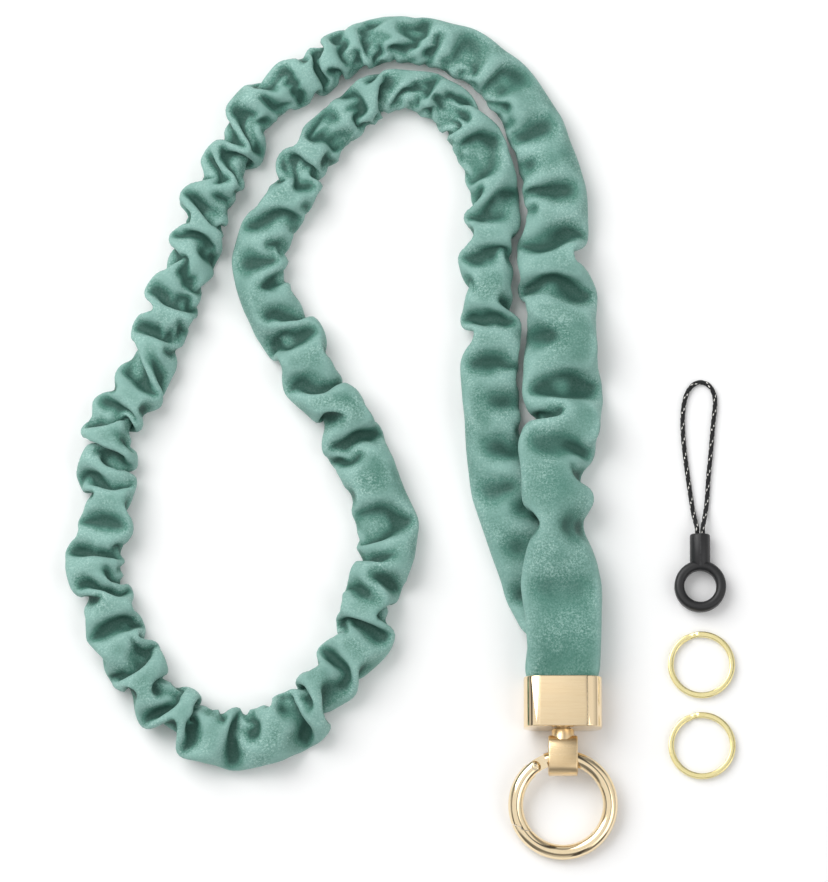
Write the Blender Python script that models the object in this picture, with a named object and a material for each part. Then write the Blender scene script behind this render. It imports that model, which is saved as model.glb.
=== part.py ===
# A gathered fabric lanyard with a swivel ring clasp, laid out flat with its tether loop and split rings.
# Metres, +Z up. The layout lies on z = 0, with the origin below the middle of its outline.

import math

import bmesh
import bpy
import numpy as np
from mathutils import Matrix, Vector

MM = 0.001
GAP = 0.3 * MM  # room between pieces that touch

# Strap: a flat woven core inside a gathered sleeve
SLEEVE_DEPTH = 8.4 * MM  # height of the gathered sleeve as it lies
SLEEVE_WALL = 0.8 * MM
SLEEVE_SIDES = 12
SLEEVE_STEP = 9.8 * MM  # distance between sections
END_EASE = 120 * MM  # length over which the sleeve flattens into the cap
CORE_WIDTH = 8.0 * MM
CORE_THICKNESS = 1.4 * MM

# End cap, mouth towards +Y
CAP_X = 47.4 * MM
CAP_MOUTH_Y = -73.1 * MM
CAP_LENGTH = 15.2 * MM
CAP_WIDTH = 23.4 * MM
CAP_DEPTH = 13.0 * MM
CAP_CORNER = 5.2 * MM
CAP_WALL = 0.9 * MM
CAP_FLOOR = 1.6 * MM
CAP_EDGE = 0.4 * MM
GLUE_THICKNESS = 1.8 * MM

# Swivel: riveted head, stem, collar and eye block in one piece
STEM_DIAMETER = 4.0 * MM
HEAD_DIAMETER = 8.0 * MM
HEAD_THICKNESS = 1.2 * MM
WASHER_DIAMETER = 9.0 * MM
WASHER_THICKNESS = 0.5 * MM
COLLAR_DIAMETER = 6.7 * MM
COLLAR_LENGTH = 2.2 * MM
EYE_WIDTH = 8.7 * MM
EYE_HEIGHT = 12.0 * MM
EYE_DEPTH = 7.8 * MM
EYE_EDGE = 0.5 * MM
EYE_DROP = 0.55 * MM  # bore below the middle of the block

# Ring clasp. Angles are about the ring's centre, from +X towards the eye at 90 degrees.
RING_OUTER_DIAMETER = 32.7 * MM
WIRE_DIAMETER = 4.5 * MM
WIRE_SIDES = 14
PIN_ANGLE = 127.0
SHOULDER_ANGLE = 111.0  # where the round wire steps down to the tang
TIP_ANGLE = 209.0  # middle of the latch joint
LATCH_STEP = 0.75 * MM
PIN_DIAMETER = 1.4 * MM
PIN_PLAY = 0.08 * MM
TANG_THICKNESS = 1.9 * MM
BORE_DIAMETER = 2.0 * MM
BORE_DEPTH = 4.3 * MM
PLUNGER_LENGTH = 1.7 * MM
SPRING_WIRE = 0.3 * MM
SPRING_TURNS = 5

# Tether: moulded ring and barrel, a loop of braided cord and its crimp
TETHER_X = 88.8 * MM
TETHER_Y = -44.9 * MM
TETHER_OUTER_DIAMETER = 15.5 * MM
TETHER_HOLE_DIAMETER = 9.6 * MM
TETHER_THICKNESS = 4.6 * MM
BARREL_DIAMETER = 6.1 * MM
BARREL_TOP = 15.8 * MM  # from the ring's centre
BARREL_EDGE = 0.6 * MM
CORD_DIAMETER = 1.45 * MM
CORD_STEP = 3.6 * MM
CRIMP_WALL = 0.3 * MM
CRIMP_LENGTH = 4.0 * MM
CRIMP_DEPTH = 3.2 * MM  # below the barrel's mouth

# Split rings, two turns of flat wire
SPLIT_OUTER_DIAMETER = 20.1 * MM
SPLIT_WIRE_WIDTH = 1.7 * MM
SPLIT_WIRE_HEIGHT = 0.85 * MM
SPLIT_PLAY = 0.12 * MM
SPLIT_PLACES = {"split_ring_a": (89.1 * MM, -68.3 * MM), "split_ring_b": (89.1 * MM, -92.7 * MM)}
SPLIT_END_ANGLE = 95.0
SPLIT_CLIMB = 15.0  # degrees over which the wire changes level

# Middle line of the sleeve between the two cap ends, in mm: x, y, height, width.
# It leaves the cap on top, runs round the outside, comes back inside itself and enters below.
STRAP_ROUTE = [
    (48.5, -60, 9.6, 24.5), (48, -46, 9.9, 26), (46.8, -33, 9.7, 26), (46.5, -18, 9.0, 25),
    (45.6, -3, 7.2, 21.8), (45.2, 12, 5.4, 20.8), (44.8, 27, 4.6, 20.4), (44.4, 43, 4.5, 20.4),
    (42.6, 58, 4.5, 18.2), (42.4, 73, 4.5, 17.2), (39, 88, 4.5, 15), (32, 104, 4.5, 14),
    (20, 115.5, 4.5, 13.6), (4, 121.2, 4.5, 13), (-11, 120.8, 4.5, 13), (-27, 112.6, 4.5, 13),
    (-42.5, 102.5, 4.5, 14), (-51.5, 88, 4.5, 15), (-58, 73, 4.5, 15), (-63, 58, 4.5, 14),
    (-70, 40, 4.5, 15), (-77, 21, 4.5, 15), (-86, 6, 4.5, 14), (-88, -9, 4.5, 15),
    (-90, -27, 4.5, 14), (-90, -44, 4.5, 16), (-85, -61, 4.5, 16), (-74, -78, 4.5, 16),
    (-58, -88, 4.5, 16), (-43, -88, 4.5, 15), (-28, -80, 4.5, 15), (-15, -65, 4.5, 16),
    (-10, -49, 4.5, 17), (-8, -30, 4.5, 14), (-12, -12, 4.5, 15), (-18, 3, 4.5, 16),
    (-26, 18, 4.5, 17), (-34, 34, 4.5, 16), (-41, 47, 4.5, 15), (-41, 59, 4.5, 15),
    (-35, 72, 4.5, 14), (-28.5, 85, 4.5, 13.6), (-18, 97.5, 4.5, 12.8), (-3, 106.8, 4.5, 12.6),
    (12, 102, 4.5, 12.6), (21.5, 89, 4.5, 13), (26, 73, 4.5, 13), (26.2, 55, 4.5, 13),
    (26.4, 40, 4.5, 12.6), (27.4, 26, 4.4, 12), (28.6, 10, 4.2, 11.4), (29.6, -5, 3.9, 11.4),
    (33, -20, 3.6, 13), (38, -34, 3.5, 16), (42, -46, 3.5, 19), (45.5, -60, 3.5, 20.5),
]

# Middle line of the tether cord outside the barrel, in mm: x, y. It lies on the surface.
CORD_ROUTE = [
    (86.9, -22), (85.6, -13), (84.6, -5), (84.0, 2), (84.0, 8), (84.8, 13), (86.6, 16.4),
    (89.1, 17.7), (91.7, 16.9), (93.4, 14.2), (93.7, 10.6), (93.1, 5), (92.4, -3), (91.6, -11),
    (90.9, -20),
]

wire_radius = WIRE_DIAMETER / 2
ring_radius = (RING_OUTER_DIAMETER - WIRE_DIAMETER) / 2
cap_axis_z = CAP_DEPTH / 2
cap_floor_y = CAP_MOUTH_Y - CAP_LENGTH
washer_y = cap_floor_y + CAP_FLOOR + GAP
head_y = washer_y + WASHER_THICKNESS + GAP
glue_y = head_y + HEAD_THICKNESS + GAP
strap_end_y = glue_y + GLUE_THICKNESS + GAP
cavity_width = CAP_WIDTH - 2 * CAP_WALL
cavity_depth = CAP_DEPTH - 2 * CAP_WALL
strap_end_width = cavity_width - 4 * GAP
strap_end_depth = (cavity_depth - 4 * GAP) / 2
block_top_y = cap_floor_y - COLLAR_LENGTH
eye_y = block_top_y - EYE_HEIGHT / 2 - EYE_DROP
ring_tilt = math.asin((cap_axis_z - wire_radius) / (2 * ring_radius))  # its far side rests on z = 0


def polar(radius, degrees):
    return Vector((math.cos(math.radians(degrees)), math.sin(math.radians(degrees)), 0)) * radius


ring_centre = Vector((0, -ring_radius, 0))  # seen from the eye's bore
pin_place = ring_centre + polar(ring_radius, PIN_ANGLE)
tip_reach = (ring_centre + polar(ring_radius, TIP_ANGLE) - pin_place).length


def material(name, colour, roughness, metallic=0.0):
    made = bpy.data.materials.new(name)
    made.use_nodes = True
    shader = made.node_tree.nodes["Principled BSDF"]
    shader.inputs["Base Color"].default_value = (*colour, 1)
    shader.inputs["Roughness"].default_value = roughness
    shader.inputs["Metallic"].default_value = metallic
    return made


def add(name, data, parent=None, finish=None, sharp=35):
    """Link a mesh or curve as an object, smooth shaded, under its parent empty."""
    piece = bpy.data.objects.new(name, data)
    bpy.context.scene.collection.objects.link(piece)
    piece.parent = parent
    if isinstance(data, bpy.types.Mesh):
        data.shade_smooth()
        data.set_sharp_from_angle(angle=math.radians(sharp))
    if finish:
        data.materials.append(finish)
    return piece


def empty(name, place, turn=(0, 0, 0), parent=None):
    marker = bpy.data.objects.new(name, None)
    bpy.context.scene.collection.objects.link(marker)
    marker.empty_display_size = 0.01
    marker.location = place
    marker.rotation_euler = turn
    marker.parent = parent
    return marker


def loft(name, rings, cyclic=False):
    """Skin a list of point rings. The first and last are filled, or joined when cyclic."""
    bm = bmesh.new()
    rows = [[bm.verts.new(point) for point in ring] for ring in rings]
    following = rows[1:] + rows[:1] if cyclic else rows[1:]
    for near, far in zip(rows, following):
        for i in range(len(near)):
            j = (i + 1) % len(near)
            bm.faces.new((near[i], near[j], far[j], far[i]))
    if not cyclic:
        bm.faces.new(rows[0][::-1])
        bm.faces.new(rows[-1])
    bmesh.ops.recalc_face_normals(bm, faces=bm.faces)
    mesh = bpy.data.meshes.new(name)
    bm.to_mesh(mesh)
    bm.free()
    return mesh


def moved(mesh, matrix):
    mesh.transform(matrix)
    return mesh


def cutter(name, mesh, parent):
    tool = add(name, mesh, parent)
    tool.hide_render = True
    tool.display_type = "WIRE"
    return tool


def boolean(piece, tool, operation="DIFFERENCE"):
    change = piece.modifiers.new(tool.name, "BOOLEAN")
    change.operation = operation
    change.solver = "EXACT"
    change.object = tool


def rounded(width, height, corner, steps=5):
    """Outline of a rectangle with round corners, as (u, v) pairs."""
    points = []
    for quarter, (side_u, side_v) in enumerate([(1, 1), (-1, 1), (-1, -1), (1, -1)]):
        for i in range(steps + 1):
            turn = math.radians(90 * (quarter + i / steps))
            u = side_u * (width / 2 - corner) + corner * math.cos(turn)
            v = side_v * (height / 2 - corner) + corner * math.sin(turn)
            points.append((u, v))
    return points


def circle(radius, sides, start=0.0):
    turns = [math.radians(start) + 2 * math.pi * i / sides for i in range(sides)]
    return [(radius * math.cos(turn), radius * math.sin(turn)) for turn in turns]


def turned(name, profile, sides=20):
    """A solid turned about +Z from (height, radius) pairs, bottom to top."""
    return loft(name, [[(u, v, height) for u, v in circle(radius, sides)] for height, radius in profile])


def prism(name, outline, low, high):
    return loft(name, [[(u, v, height) for u, v in outline] for height in (low, high)])


def smooth_line(points, step):
    """Rows spaced evenly along a Catmull-Rom line through the given rows, with their lengths along it."""
    rows = np.array([points[0], *points, points[-1]], float)
    fine = []
    for a, b, c, d in zip(rows, rows[1:], rows[2:], rows[3:]):
        for t in np.linspace(0, 1, 24, endpoint=False):
            curve = 2 * b + (c - a) * t + (2 * a - 5 * b + 4 * c - d) * t**2 + (3 * b - 3 * c + d - a) * t**3
            fine.append(curve / 2)
    fine.append(rows[-1])
    fine = np.array(fine)
    along = np.concatenate([[0], np.cumsum(np.linalg.norm(np.diff(fine[:, :3], axis=0), axis=1))])
    stations = np.linspace(0, along[-1], round(along[-1] / step) + 1)
    even = np.array([np.interp(stations, along, column) for column in fine.T]).T
    return even, stations


def strap_stations():
    """Sections of the strap from its upper end in the cap round to its lower end: place, side, width, depth."""
    level = strap_end_depth / 2 + GAP / 2
    upper = [(CAP_X, y, cap_axis_z + level, strap_end_width) for y in (strap_end_y, CAP_MOUTH_Y + GAP)]
    lower = [(CAP_X, y, cap_axis_z - level, strap_end_width) for y in (CAP_MOUTH_Y + GAP, strap_end_y)]
    free = [tuple(value * MM for value in row) for row in STRAP_ROUTE]
    rows, along = smooth_line(upper + free + lower, SLEEVE_STEP)
    from_end = np.minimum(along, along[-1] - along)
    share = np.clip((from_end - (CAP_MOUTH_Y - strap_end_y)) / END_EASE, 0, 1)
    depths = strap_end_depth + (SLEEVE_DEPTH - strap_end_depth) * share * share * (3 - 2 * share)
    heading = np.gradient(rows[:, :2], axis=0)
    heading /= np.linalg.norm(heading, axis=1)[:, None]
    return [
        (Vector(row[:3]), Vector((turn[1], -turn[0], 0)), row[3], depth)
        for row, turn, depth in zip(rows, heading, depths)
    ]


def squarish(width, depth, sides, power=2.4):
    """A superellipse, fuller at its corners than an ellipse."""
    points = []
    for u, v in circle(1, sides, start=180 / sides):
        reach = (abs(u) ** power + abs(v) ** power) ** (-1 / power)
        points.append((u * reach * width / 2, v * reach * depth / 2))
    return points


def section(place, side, outline):
    return [place + side * u + Vector((0, 0, v)) for u, v in outline]


def build_strap(cloth, webbing):
    stations = strap_stations()
    outer = [section(p, s, squarish(w, d, SLEEVE_SIDES)) for p, s, w, d in stations]
    inner = [
        section(p, s, squarish(w - 2 * SLEEVE_WALL, d - 2 * SLEEVE_WALL, SLEEVE_SIDES))
        for p, s, w, d in stations
    ]
    add("fabric_sleeve", loft("fabric_sleeve", outer + inner[::-1], cyclic=True), finish=cloth, sharp=60)
    flat = [(1, 1), (-1, 1), (-1, -1), (1, -1)]
    flat = [(u * CORE_WIDTH / 2, v * CORE_THICKNESS / 2) for u, v in flat]
    add("core_strap", loft("core_strap", [section(p, s, flat) for p, s, w, d in stations]), finish=webbing)


def build_cap(gold, glue, steel, swivel_axis):
    def outline(inset):
        return rounded(CAP_WIDTH - 2 * inset, CAP_DEPTH - 2 * inset, CAP_CORNER - inset)

    sides = len(outline(0))
    stem_hole = circle(STEM_DIAMETER / 2 + GAP, sides, start=180 / sides)
    loops = [
        (stem_hole, 0),
        (outline(CAP_EDGE), 0),
        (outline(0), CAP_EDGE),
        (outline(0), CAP_LENGTH - CAP_EDGE),
        (outline(CAP_EDGE), CAP_LENGTH),
        (outline(CAP_WALL), CAP_LENGTH),
        (outline(CAP_WALL), CAP_FLOOR),
        (stem_hole, CAP_FLOOR),
    ]
    shell = loft("end_cap", [[(u, y, v) for u, v in points] for points, y in loops], cyclic=True)
    add("end_cap", shell, swivel_axis, gold)

    plug_outline = outline(CAP_WALL + GAP)
    plug_y = glue_y - cap_floor_y
    plug = loft("glue_plug", [[(u, y, v) for u, v in plug_outline] for y in (plug_y, plug_y + GLUE_THICKNESS)])
    add("glue_plug", plug, swivel_axis, glue)

    low = washer_y - cap_floor_y
    rim = circle(WASHER_DIAMETER / 2, 24)
    eye = circle(STEM_DIAMETER / 2 + GAP, 24)
    loops = [(eye, low), (rim, low), (rim, low + WASHER_THICKNESS), (eye, low + WASHER_THICKNESS)]
    washer = loft("swivel_washer", [[(u, y, v) for u, v in points] for points, y in loops], cyclic=True)
    add("swivel_washer", washer, swivel_axis, steel)


def build_eye(gold, eye_axis):
    """Everything here is seen from the middle of the bore."""
    middle = EYE_DROP
    corner = EYE_DEPTH / 2 - EYE_EDGE / 2
    layers = [(-EYE_WIDTH / 2, EYE_EDGE), (-EYE_WIDTH / 2 + EYE_EDGE, 0)]
    layers += [(-x, inset) for x, inset in layers[::-1]]
    rings = []
    for x, inset in layers:
        outline = rounded(EYE_HEIGHT - 2 * inset, EYE_DEPTH - 2 * inset, corner - inset)
        rings.append([(x, middle + u, v) for u, v in outline])
    block = add("swivel_eye", loft("swivel_eye", rings), eye_axis, gold)

    top = block_top_y - eye_y
    profile = [
        (top - 1.5 * MM, COLLAR_DIAMETER / 2),
        (top + COLLAR_LENGTH - GAP - 0.4 * MM, COLLAR_DIAMETER / 2),
        (top + COLLAR_LENGTH - GAP, COLLAR_DIAMETER / 2 - 0.4 * MM),
        (top + COLLAR_LENGTH - GAP, STEM_DIAMETER / 2),
        (head_y - eye_y, STEM_DIAMETER / 2),
        (head_y - eye_y, HEAD_DIAMETER / 2),
        (head_y - eye_y + HEAD_THICKNESS * 0.6, HEAD_DIAMETER / 2),
        (head_y - eye_y + HEAD_THICKNESS, HEAD_DIAMETER * 0.3),
    ]
    along_y = Matrix.Rotation(math.radians(-90), 4, "X")
    stem = cutter("swivel_stem", moved(turned("swivel_stem", profile, 24), along_y), eye_axis)
    boolean(block, stem, "UNION")

    # The bore widens outwards as the curved wire needs, so the ring can swing all round in it.
    half = EYE_WIDTH / 2 + 1 * MM
    profile = []
    for x in np.linspace(-half, half, 11):
        sagitta = ring_radius - math.sqrt(ring_radius**2 - x**2)
        profile.append((x, wire_radius + GAP + sagitta))
    along_x = Matrix.Rotation(math.radians(90), 4, "Y")
    bore = cutter("eye_bore", moved(turned("eye_bore", profile, 20), along_x), eye_axis)
    boolean(block, bore)


def wire_rings(stations):
    """Round sections of the clasp's wire at (angle, radius) pairs, seen from the eye's bore."""
    rings = []
    for angle, radius in stations:
        outward = polar(1, angle)
        centre = ring_centre + outward * ring_radius
        outline = circle(radius, WIRE_SIDES, start=180 / WIRE_SIDES)
        rings.append([centre + outward * u + Vector((0, 0, v)) for u, v in outline])
    return rings


def sector(name, inner, outer, parent, shift, half_height=4 * MM):
    """A slab of a round band about the pin, over the latch joint."""
    aim = math.degrees(math.atan2(*(ring_centre + polar(ring_radius, TIP_ANGLE) - pin_place).yx))
    turns = np.linspace(aim - 22, aim + 22, 15)
    outline = [polar(outer, turn) for turn in turns] + [polar(inner, turn) for turn in turns[::-1]]
    outline = [(point.x, point.y) for point in outline]
    mesh = prism(name, outline, -half_height, half_height)
    return cutter(name, moved(mesh, Matrix.Translation(pin_place + shift)), parent)


def disc(name, radius, parent, centre, half_height=4 * MM, sides=48):
    mesh = prism(name, circle(radius, sides), -half_height, half_height)
    return cutter(name, moved(mesh, Matrix.Translation(centre)), parent)


def build_ring(gold, ring_axis):
    angles = np.linspace(TIP_ANGLE - 10, 360 + SHOULDER_ANGLE, 38)
    ring = add("clasp_ring", loft("clasp_ring", wire_rings([(a, wire_radius) for a in angles])), ring_axis, gold)

    half = wire_radius - 0.3 * MM
    outer = [polar(ring_radius + half, a) for a in np.linspace(SHOULDER_ANGLE - 6, PIN_ANGLE, 5)]
    nose = [polar(ring_radius, PIN_ANGLE) + polar(half, PIN_ANGLE + a) for a in np.linspace(0, 180, 11)[1:-1]]
    inner = [polar(ring_radius - half, a) for a in np.linspace(PIN_ANGLE, SHOULDER_ANGLE - 6, 5)]
    outline = [(point.x, point.y) for point in outer + nose + inner]
    mesh = prism("ring_tang", outline, -TANG_THICKNESS / 2, TANG_THICKNESS / 2)
    tang = cutter("ring_tang", moved(mesh, Matrix.Translation(ring_centre)), ring_axis)
    boolean(ring, tang, "UNION")
    boolean(ring, disc("tang_hole", PIN_DIAMETER / 2 + PIN_PLAY, ring_axis, pin_place, sides=16))

    # Outer half of the latch: the lip that stops the gate. Inner half: set back by the step.
    near = tip_reach - LATCH_STEP / 2 + GAP
    boolean(ring, sector("lip_cut", 10 * MM, near, ring_axis, Vector()))
    seat = sector("seat_cut", 10 * MM, near + LATCH_STEP, ring_axis, Vector())
    boolean(seat, disc("seat_limit", ring_radius + GAP, ring_axis, ring_centre), "INTERSECT")
    boolean(ring, seat)


def build_gate(gold, steel, gate_axis):
    """The gate and what rides in it, seen from the pin."""
    to_pin = Matrix.Translation(-pin_place)
    stations = []
    for share in (0.99, 0.9, 0.7, 0.4):
        back = math.degrees(wire_radius * share / ring_radius)
        stations.append((PIN_ANGLE - back, wire_radius * math.sqrt(1 - share**2)))
    stations += [(a, wire_radius) for a in np.linspace(PIN_ANGLE, TIP_ANGLE + 10, 15)]
    gate = add("clasp_gate", moved(loft("clasp_gate", wire_rings(stations)), to_pin), gate_axis, gold)

    slot_radius = wire_radius + GAP
    slot = prism("gate_slot", circle(slot_radius, 32), -TANG_THICKNESS / 2 - GAP, TANG_THICKNESS / 2 + GAP)
    boolean(gate, cutter("gate_slot", slot, gate_axis))
    hole = prism("cheek_hole", circle(PIN_DIAMETER / 2 + PIN_PLAY, 16), -4 * MM, 4 * MM)
    boolean(gate, cutter("cheek_hole", hole, gate_axis))

    far = tip_reach - LATCH_STEP / 2
    boolean(gate, sector("tip_cut", far + LATCH_STEP, 30 * MM, gate_axis, -pin_place))
    notch = sector("tip_notch", far, 30 * MM, gate_axis, -pin_place)
    boolean(notch, disc("notch_limit", ring_radius, gate_axis, ring_centre - pin_place), "DIFFERENCE")
    boolean(gate, notch)

    # The bore starts in the slot and follows the chord of the gate's first stretch.
    bore_end = slot_radius + BORE_DEPTH
    chord = PIN_ANGLE + 90 + math.degrees(math.asin(bore_end / 2 / ring_radius))
    along_chord = Matrix.Rotation(math.radians(chord), 4, "Z") @ Matrix.Rotation(math.radians(90), 4, "Y")
    profile = [(slot_radius - 1.2 * MM, BORE_DIAMETER / 2), (bore_end, BORE_DIAMETER / 2)]
    boolean(gate, cutter("spring_bore", moved(turned("spring_bore", profile, 16), along_chord), gate_axis))

    pin_radius = PIN_DIAMETER / 2
    reach = math.sqrt(wire_radius**2 - pin_radius**2)
    profile = [(-reach, pin_radius - 0.15 * MM), (-reach + 0.15 * MM, pin_radius)]
    profile += [(-height, radius) for height, radius in profile[::-1]]
    add("gate_pin", turned("gate_pin", profile, 16), gate_axis, steel)

    plunger_radius = BORE_DIAMETER / 2 - 0.15 * MM
    start = wire_radius
    profile = [(start, plunger_radius * 0.4), (start + 0.25 * MM, plunger_radius * 0.8)]
    profile += [(start + 0.6 * MM, plunger_radius), (start + PLUNGER_LENGTH, plunger_radius)]
    add("gate_plunger", moved(turned("gate_plunger", profile, 12), along_chord), gate_axis, steel)

    low = start + PLUNGER_LENGTH + GAP + SPRING_WIRE / 2
    high = bore_end - GAP - SPRING_WIRE / 2
    coil = plunger_radius - SPRING_WIRE / 2
    count = SPRING_TURNS * 10
    points = []
    for i in range(count + 1):
        turn = 2 * math.pi * SPRING_TURNS * i / count
        points.append((coil * math.cos(turn), coil * math.sin(turn), low + (high - low) * i / count))
    spring = add("gate_spring", wire_curve("gate_spring", points, SPRING_WIRE / 2, 1), gate_axis, steel)
    spring.data.transform(along_chord)


def wire_curve(name, points, radius, resolution):
    curve = bpy.data.curves.new(name, "CURVE")
    curve.dimensions = "3D"
    spline = curve.splines.new("POLY")
    spline.points.add(len(points) - 1)
    for target, point in zip(spline.points, points):
        target.co = (*point, 1)
    curve.bevel_depth = radius
    curve.bevel_resolution = resolution
    curve.use_fill_caps = True
    return curve


def build_tether(plastic, braid, brass):
    """Ring, barrel, crimp and cord, seen from the ring's centre."""
    frame = empty("tether_frame", (TETHER_X, TETHER_Y, BARREL_DIAMETER / 2))
    band = (TETHER_OUTER_DIAMETER - TETHER_HOLE_DIAMETER) / 2
    middle = (TETHER_OUTER_DIAMETER + TETHER_HOLE_DIAMETER) / 4
    rings = []
    for i in range(30):
        outward = polar(1, 360 * i / 30)
        outline = squarish(band, TETHER_THICKNESS, 12)
        rings.append([outward * (middle + u) + Vector((0, 0, v)) for u, v in outline])
    ring = add("tether_ring", loft("tether_ring", rings, cyclic=True), frame, plastic)

    strand = CORD_DIAMETER / 2 + GAP / 2  # each strand's distance from the barrel's axis
    mouth_radius = strand + CORD_DIAMETER / 2 + GAP
    crimp_inside = (2 * strand + CORD_DIAMETER + 2 * GAP, CORD_DIAMETER + 2 * GAP)
    crimp_outside = tuple(size + 2 * CRIMP_WALL for size in crimp_inside)
    chamber_radius = crimp_outside[0] / 2 + GAP
    chamber_top = BARREL_TOP - CRIMP_DEPTH + GAP
    chamber_floor = chamber_top - CRIMP_LENGTH - 4 * GAP
    radius = BARREL_DIAMETER / 2
    profile = [
        (TETHER_HOLE_DIAMETER / 2 + 0.8 * MM, TETHER_THICKNESS / 2 - 0.2 * MM),
        (TETHER_OUTER_DIAMETER / 2 - 0.6 * MM, radius),
        (BARREL_TOP - BARREL_EDGE, radius),
        (BARREL_TOP, radius - BARREL_EDGE),
        (BARREL_TOP, mouth_radius),
        (chamber_top, mouth_radius),
        (chamber_top, chamber_radius),
        (chamber_floor, chamber_radius),
    ]
    along_y = Matrix.Rotation(math.radians(-90), 4, "X")
    barrel = cutter("tether_barrel", moved(turned("tether_barrel", profile, 24), along_y), frame)
    boolean(ring, barrel, "UNION")

    def oval(size, y):
        return [(u * size[0] / 2, y, v * size[1] / 2) for u, v in circle(1, 18)]

    top = BARREL_TOP - CRIMP_DEPTH
    low = top - CRIMP_LENGTH
    rings = [oval(crimp_inside, low), oval(crimp_outside, low), oval(crimp_outside, top), oval(crimp_inside, top)]
    add("cord_crimp", loft("cord_crimp", rings, cyclic=True), frame, brass)

    end_y = TETHER_Y + low
    mouth_y = TETHER_Y + BARREL_TOP
    level = BARREL_DIAMETER / 2
    lying = CORD_DIAMETER / 2 + 0.02 * MM
    leaving = [(end_y, level), (mouth_y, level), (mouth_y + 2 * MM, level)]
    up = [(TETHER_X - strand, y, z) for y, z in leaving]
    down = [(TETHER_X + strand, y, z) for y, z in leaving[::-1]]
    lying_points = [(x * MM, y * MM, lying) for x, y in CORD_ROUTE]
    points, _ = smooth_line(up + lying_points + down, CORD_STEP)
    points[:, 2] = np.maximum(points[:, 2], lying)
    add("tether_cord", wire_curve("tether_cord", points.tolist(), CORD_DIAMETER / 2, 2), finish=braid)


def build_split_ring(name, place, gold):
    """Two turns of flat wire, one on the other, that change level beside their own ends."""
    centre = empty(name + "_centre", (*place, 0))
    middle = (SPLIT_OUTER_DIAMETER - SPLIT_WIRE_WIDTH) / 2
    rise = SPLIT_WIRE_HEIGHT + SPLIT_PLAY
    turns = 720 - SPLIT_CLIMB - 5
    outline = rounded(SPLIT_WIRE_WIDTH, SPLIT_WIRE_HEIGHT, SPLIT_WIRE_HEIGHT * 0.35, steps=1)
    rings = []
    for turn in np.linspace(0, turns, 61):
        share = min(max((turn - (360 - SPLIT_CLIMB)) / SPLIT_CLIMB, 0), 1)
        height = SPLIT_WIRE_HEIGHT / 2 + rise * share * share * (3 - 2 * share)
        outward = polar(1, SPLIT_END_ANGLE + turn)
        rings.append([outward * (middle + u) + Vector((0, 0, height + v)) for u, v in outline])
    add(name, loft(name, rings), centre, gold)


def main():
    for old in list(bpy.data.objects):
        bpy.data.objects.remove(old, do_unlink=True)

    cloth = material("gathered_cloth", (0.107, 0.266, 0.216), 0.75)
    webbing = material("woven_core", (0.09, 0.22, 0.18), 0.8)
    light_gold = material("light_gold", (0.81, 0.63, 0.38), 0.22, 1.0)
    yellow_gold = material("yellow_gold", (0.76, 0.58, 0.2), 0.2, 1.0)
    steel = material("spring_steel", (0.55, 0.54, 0.52), 0.35, 1.0)
    glue = material("clear_glue", (0.7, 0.66, 0.55), 0.3)
    plastic = material("black_moulding", (0.02, 0.02, 0.022), 0.5)
    braid = material("black_braid", (0.015, 0.015, 0.016), 0.8)
    brass = material("crimp_brass", (0.6, 0.45, 0.2), 0.4, 1.0)

    swivel_axis = empty("swivel_axis", (CAP_X, cap_floor_y, cap_axis_z))
    eye_axis = empty("eye_axis", (0, eye_y - cap_floor_y, 0), parent=swivel_axis)
    ring_axis = empty("ring_axis", (0, 0, 0), (ring_tilt, 0, 0), parent=eye_axis)
    gate_axis = empty("gate_axis", pin_place, parent=ring_axis)

    build_strap(cloth, webbing)
    build_cap(light_gold, glue, steel, swivel_axis)
    build_eye(light_gold, eye_axis)
    build_ring(light_gold, ring_axis)
    build_gate(light_gold, steel, gate_axis)
    build_tether(plastic, braid, brass)
    for name, place in SPLIT_PLACES.items():
        build_split_ring(name, place, yellow_gold)


main()
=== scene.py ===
# Looks for the gathered lanyard: cloth sleeve, gold fittings, tether loop and split rings.
import math

import bmesh
import bpy
import numpy as np
from mathutils import Matrix, Vector


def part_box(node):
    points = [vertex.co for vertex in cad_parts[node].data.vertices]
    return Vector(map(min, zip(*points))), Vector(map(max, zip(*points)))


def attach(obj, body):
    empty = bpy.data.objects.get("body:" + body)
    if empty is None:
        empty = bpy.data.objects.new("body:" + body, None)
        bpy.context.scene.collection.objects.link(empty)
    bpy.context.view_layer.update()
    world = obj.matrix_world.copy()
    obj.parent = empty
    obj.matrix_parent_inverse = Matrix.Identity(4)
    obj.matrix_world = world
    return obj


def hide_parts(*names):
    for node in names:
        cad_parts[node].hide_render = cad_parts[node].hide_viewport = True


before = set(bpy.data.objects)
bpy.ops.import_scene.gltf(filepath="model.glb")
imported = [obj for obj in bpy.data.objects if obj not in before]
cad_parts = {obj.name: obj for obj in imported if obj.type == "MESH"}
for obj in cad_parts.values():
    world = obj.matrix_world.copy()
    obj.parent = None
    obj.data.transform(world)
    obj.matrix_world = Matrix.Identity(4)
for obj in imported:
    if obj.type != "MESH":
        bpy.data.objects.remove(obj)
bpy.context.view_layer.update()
mm = 0.001


# Helpers for modelling
def selectOnly(obj):
    if bpy.context.object and bpy.context.object.mode != "OBJECT":
        bpy.ops.object.mode_set(mode="OBJECT")
    bpy.ops.object.select_all(action="DESELECT")
    obj.select_set(True)
    bpy.context.view_layer.objects.active = obj


def named(name):
    obj = bpy.context.object
    obj.name = name
    obj.data.name = name
    return obj


def applyPlace(obj):
    selectOnly(obj)
    bpy.ops.object.transform_apply(location=True, rotation=True, scale=True)


def applied(obj, kind, **settings):
    selectOnly(obj)
    mod = obj.modifiers.new(kind.lower(), kind)
    for key, value in settings.items():
        setattr(mod, key, value)
    bpy.ops.object.modifier_apply(modifier=mod.name)


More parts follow.
